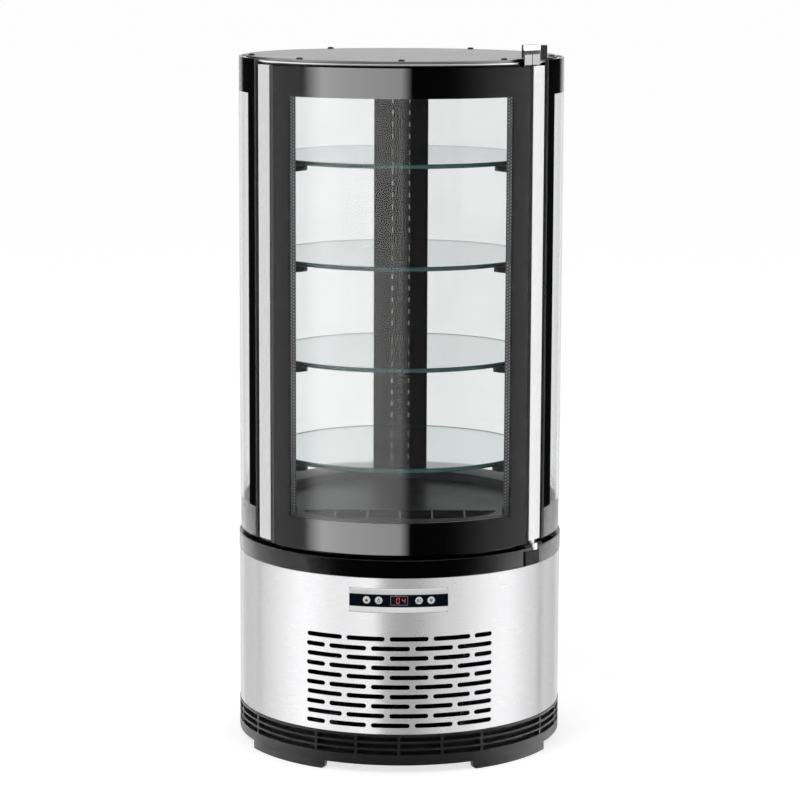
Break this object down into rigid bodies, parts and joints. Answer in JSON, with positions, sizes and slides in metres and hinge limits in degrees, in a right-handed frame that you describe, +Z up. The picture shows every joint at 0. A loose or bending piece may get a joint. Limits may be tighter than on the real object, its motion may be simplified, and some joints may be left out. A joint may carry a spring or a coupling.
{
  "type": "cake display case",
  "caption": "Round countertop refrigerated cake display case with a curved hinged glass door, glass shelves and a steel base with a ventilation grille.",
  "frame": {"origin": "on the floor under the case's axis", "axes": "+Z up along the case's axis, -Y towards the door, +X towards the hinge side"},
  "size_m": [0.46, 0.46, 0.9945],
  "materials": {
    "black_plastic": "satin",
    "gloss_black": "polished",
    "compressor_paint": "gloss",
    "brushed_steel": "brushed",
    "satin_aluminium": "satin",
    "chrome": "polished",
    "galvanised": "satin",
    "glass": "polished",
    "printed_glass": "polished",
    "silver_plastic": "satin",
    "white_plastic": "satin",
    "rubber": "matt",
    "light": "satin",
    "circuit_board": "satin"
  },
  "bodies": {
    "cabinet": {"base_skirt": "black_plastic", "base_plate": "galvanised", "steel_shell": "brushed_steel", "rear_panel": "brushed_steel", "power_inlet": "black_plastic", "base_band": "gloss_black", "evaporator_tub": "white_plastic", "lower_frame_ring": "gloss_black", "upper_frame": "gloss_black", "top_cap": "gloss_black", "roof_plate": "brushed_steel", "deck_plate": "galvanised", "deck_vent": "black_plastic", "side_glass_left": "glass", "side_glass_right": "glass", "post_left": "gloss_black", "post_right": "gloss_black", "light_strip_left": "light", "light_strip_right": "light", "rear_column": "black_plastic", "lower_hinge": "gloss_black", "upper_hinge_block": "chrome", "upper_hinge_bracket": "black_plastic", "control_plate": "silver_plastic", "display_panel": "gloss_black", "control_board": "circuit_board", "condenser": "galvanised", "condenser_fan_frame": "galvanised", "compressor": "compressor_paint", "control_box": "galvanised", "evaporator": "satin_aluminium", "blower_housing": "black_plastic", "shelf_1": "glass", "shelf_clip_left_1": "black_plastic", "shelf_clip_right_1": "black_plastic", "shelf_bracket_1": "black_plastic", "shelf_2": "glass", "shelf_clip_left_2": "black_plastic", "shelf_clip_right_2": "black_plastic", "shelf_bracket_2": "black_plastic", "shelf_3": "glass", "shelf_clip_left_3": "black_plastic", "shelf_clip_right_3": "black_plastic", "shelf_bracket_3": "black_plastic", "shelf_4": "glass", "shelf_clip_left_4": "black_plastic", "shelf_clip_right_4": "black_plastic", "shelf_bracket_4": "black_plastic"},
    "door": {"door_outer_glass": "printed_glass", "door_inner_glass": "glass", "door_spacer": "satin_aluminium", "door_gasket": "rubber", "door_profile_left": "satin_aluminium", "door_profile_right": "satin_aluminium"},
    "button_up": {"button_up": "white_plastic"},
    "button_light": {"button_light": "white_plastic"},
    "button_set": {"button_set": "white_plastic"},
    "button_down": {"button_down": "white_plastic"},
    "condenser_fan": {"condenser_fan": "black_plastic"},
    "blower_wheel": {"blower_wheel": "white_plastic"}
  },
  "joints": [
    {"name": "door_swing", "type": "hinge", "parent": "cabinet", "child": "door", "pos_m": [0.18312, -0.12727, 0.3035], "axis": [0, 0, 1], "range_deg": [0, 110]},
    {"name": "button_up_press", "type": "slide", "parent": "cabinet", "child": "button_up", "axis": [0.1959, 0.9806, 0], "range_m": [0, 0.0008], "stiffness_N_per_m": 300, "springref_m": -0.0002},
    {"name": "button_light_press", "type": "slide", "parent": "cabinet", "child": "button_light", "axis": [0.1236, 0.9923, 0], "range_m": [0, 0.0008], "stiffness_N_per_m": 300, "springref_m": -0.0002},
    {"name": "button_set_press", "type": "slide", "parent": "cabinet", "child": "button_set", "axis": [-0.1167, 0.9932, 0], "range_m": [0, 0.0008], "stiffness_N_per_m": 300, "springref_m": -0.0002},
    {"name": "button_down_press", "type": "slide", "parent": "cabinet", "child": "button_down", "axis": [-0.1891, 0.982, 0], "range_m": [0, 0.0008], "stiffness_N_per_m": 300, "springref_m": -0.0002},
    {"name": "condenser_fan_spin", "type": "hinge", "parent": "cabinet", "child": "condenser_fan", "pos_m": [0, -0.1404, 0.1073], "axis": [0, 1, 0], "continuous": true},
    {"name": "blower_wheel_spin", "type": "hinge", "parent": "cabinet", "child": "blower_wheel", "pos_m": [0, -0.105, 0.2619], "axis": [0, 0, 1], "continuous": true}
  ]
}
